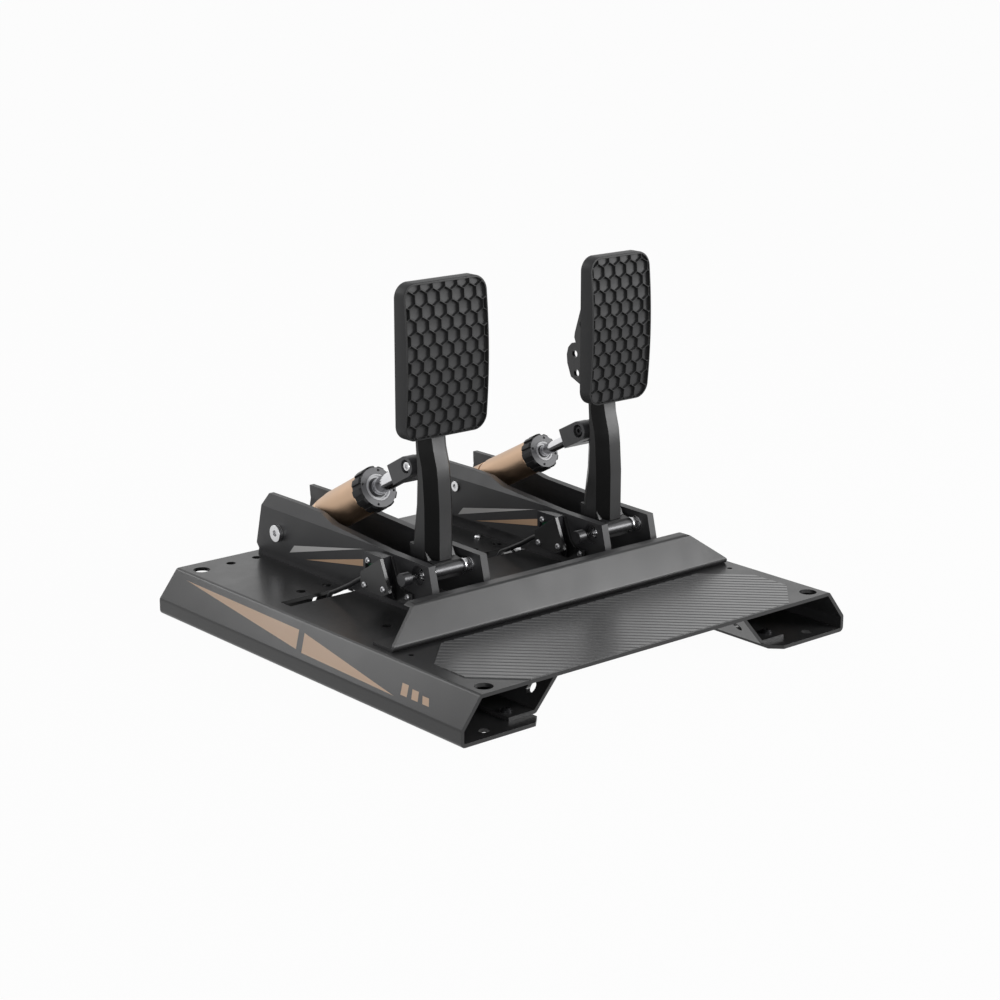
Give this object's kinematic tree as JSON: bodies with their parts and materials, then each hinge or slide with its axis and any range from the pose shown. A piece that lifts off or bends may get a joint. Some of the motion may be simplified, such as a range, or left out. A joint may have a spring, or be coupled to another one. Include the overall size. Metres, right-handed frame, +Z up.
{
  "type": "sim racing pedal set",
  "caption": "Bent steel base with a heel stop, carrying a brake and a throttle pedal, each with a damper, a preload knob and an angle sensor.",
  "frame": {"origin": "centre of the footprint on the floor", "axes": "+X to the driver's right, +Y away from the driver, +Z up"},
  "size_m": [0.4054, 0.4, 0.302],
  "materials": {
    "base_steel": "satin black powder coat on bent steel sheet",
    "channel_black": "satin black anodised",
    "arm_black": "satin black anodised",
    "heel_rubber": "ribbed matt rubber sheet",
    "pad_rubber": "satin moulded rubber with dimples",
    "bronze": "satin bronze anodised",
    "dark_anodised": "satin dark anodised",
    "bright_steel": "bright zinc",
    "polished_rod": "polished",
    "black_bolt": "black oxide",
    "housing_plastic": "matt black",
    "cable_black": "matt black jacket",
    "board_green": "solder mask",
    "elastomer": "matt"
  },
  "bodies": {
    "base": {"base_plate": "base_steel", "stiffeners": "base_steel", "base_screws": "black_bolt", "heel_sheet": "heel_rubber", "heel_stop_bar": "base_steel", "brake_channel": "channel_black", "throttle_channel": "channel_black", "channel_screws": "black_bolt", "channel_nuts": "bright_steel", "pivot_bushes": "bright_steel", "brake_rear_bolt": "bright_steel", "throttle_rear_bolt": "bright_steel", "rear_nuts": "bright_steel", "rear_spacers": "bright_steel", "sensor_brackets": "base_steel", "sensor_housings": "housing_plastic", "sensor_boards": "board_green", "sensor_covers": "base_steel", "sensor_screws": "bright_steel", "sensor_cables": "cable_black", "control_box": "housing_plastic", "control_lid": "housing_plastic", "control_board": "board_green", "control_screws": "bright_steel"},
    "brake_pedal": {"brake_arm": "arm_black", "brake_axle": "bright_steel", "brake_sleeve": "bright_steel", "brake_locknut": "bright_steel", "brake_magnet_cap": "black_bolt", "brake_bracket": "base_steel", "brake_bracket_bolts": "black_bolt", "brake_pad": "pad_rubber", "brake_pad_screws": "black_bolt"},
    "brake_damper": {"brake_barrel": "bronze", "brake_gland": "bright_steel", "brake_end_sleeve": "bronze", "brake_rear_eye": "bronze", "brake_elastomers": "elastomer"},
    "brake_knob_ring": {"brake_knob": "dark_anodised"},
    "brake_push_rod": {"brake_clevis": "dark_anodised", "brake_clevis_bolt": "bright_steel", "brake_jam_nut": "bright_steel", "brake_rod": "polished_rod"},
    "throttle_pedal": {"throttle_arm": "arm_black", "throttle_axle": "bright_steel", "throttle_sleeve": "bright_steel", "throttle_locknut": "bright_steel", "throttle_magnet_cap": "black_bolt", "throttle_bracket": "base_steel", "throttle_bracket_bolts": "black_bolt", "throttle_pad": "pad_rubber", "throttle_pad_screws": "black_bolt"},
    "throttle_damper": {"throttle_barrel": "bronze", "throttle_gland": "bright_steel", "throttle_rear_eye": "bronze", "throttle_spring": "bright_steel"},
    "throttle_knob_ring": {"throttle_knob": "dark_anodised"},
    "throttle_push_rod": {"throttle_clevis": "dark_anodised", "throttle_clevis_bolt": "black_bolt", "throttle_rod": "polished_rod"}
  },
  "joints": [
    {"name": "brake_pedal_hinge", "type": "hinge", "parent": "base", "child": "brake_pedal", "pos_m": [-0.0814, -0.035, 0.071], "axis": [-1, 0, 0], "range_deg": [0, 10], "stiffness_Nm_per_rad": 150, "springref_deg": -1.72},
    {"name": "brake_damper_hinge", "type": "hinge", "parent": "base", "child": "brake_damper", "pos_m": [-0.0814, 0.1553, 0.0638], "axis": [-1, 0, 0], "range_deg": [0, 0.238]},
    {"name": "brake_rod_slide", "type": "slide", "parent": "brake_damper", "child": "brake_push_rod", "axis": [0, 0.8766, -0.4813], "range_m": [0, 0.01501], "deforming": ["brake_elastomers"]},
    {"name": "brake_knob_turn", "type": "hinge", "parent": "brake_damper", "child": "brake_knob_ring", "pos_m": [-0.0814, 0.05944, 0.11643], "axis": [0, 0.8766, -0.4813], "range_deg": [-180, 180]},
    {"name": "throttle_pedal_hinge", "type": "hinge", "parent": "base", "child": "throttle_pedal", "pos_m": [0.1013, -0.035, 0.071], "axis": [-1, 0, 0], "range_deg": [0, 18], "stiffness_Nm_per_rad": 20, "springref_deg": -6.88},
    {"name": "throttle_damper_hinge", "type": "hinge", "parent": "base", "child": "throttle_damper", "pos_m": [0.1013, 0.1427, 0.0754], "axis": [1, 0, 0], "range_deg": [0, 0.413]},
    {"name": "throttle_rod_slide", "type": "slide", "parent": "throttle_damper", "child": "throttle_push_rod", "axis": [0, 0.8884, -0.4591], "range_m": [0, 0.0269], "deforming": ["throttle_spring"]},
    {"name": "throttle_knob_turn", "type": "hinge", "parent": "throttle_damper", "child": "throttle_knob_ring", "pos_m": [0.1013, 0.06338, 0.11639], "axis": [0, 0.8884, -0.4591], "range_deg": [-180, 180]}
  ],
  "couplings": [
    {"joint": "brake_damper_hinge", "follows": "brake_pedal_hinge", "ratio": 0.02318},
    {"joint": "brake_rod_slide", "follows": "brake_pedal_hinge", "m_per_rad": 0.085669},
    {"joint": "throttle_damper_hinge", "follows": "throttle_pedal_hinge", "ratio": 0.02261},
    {"joint": "throttle_rod_slide", "follows": "throttle_pedal_hinge", "m_per_rad": 0.085438}
  ]
}
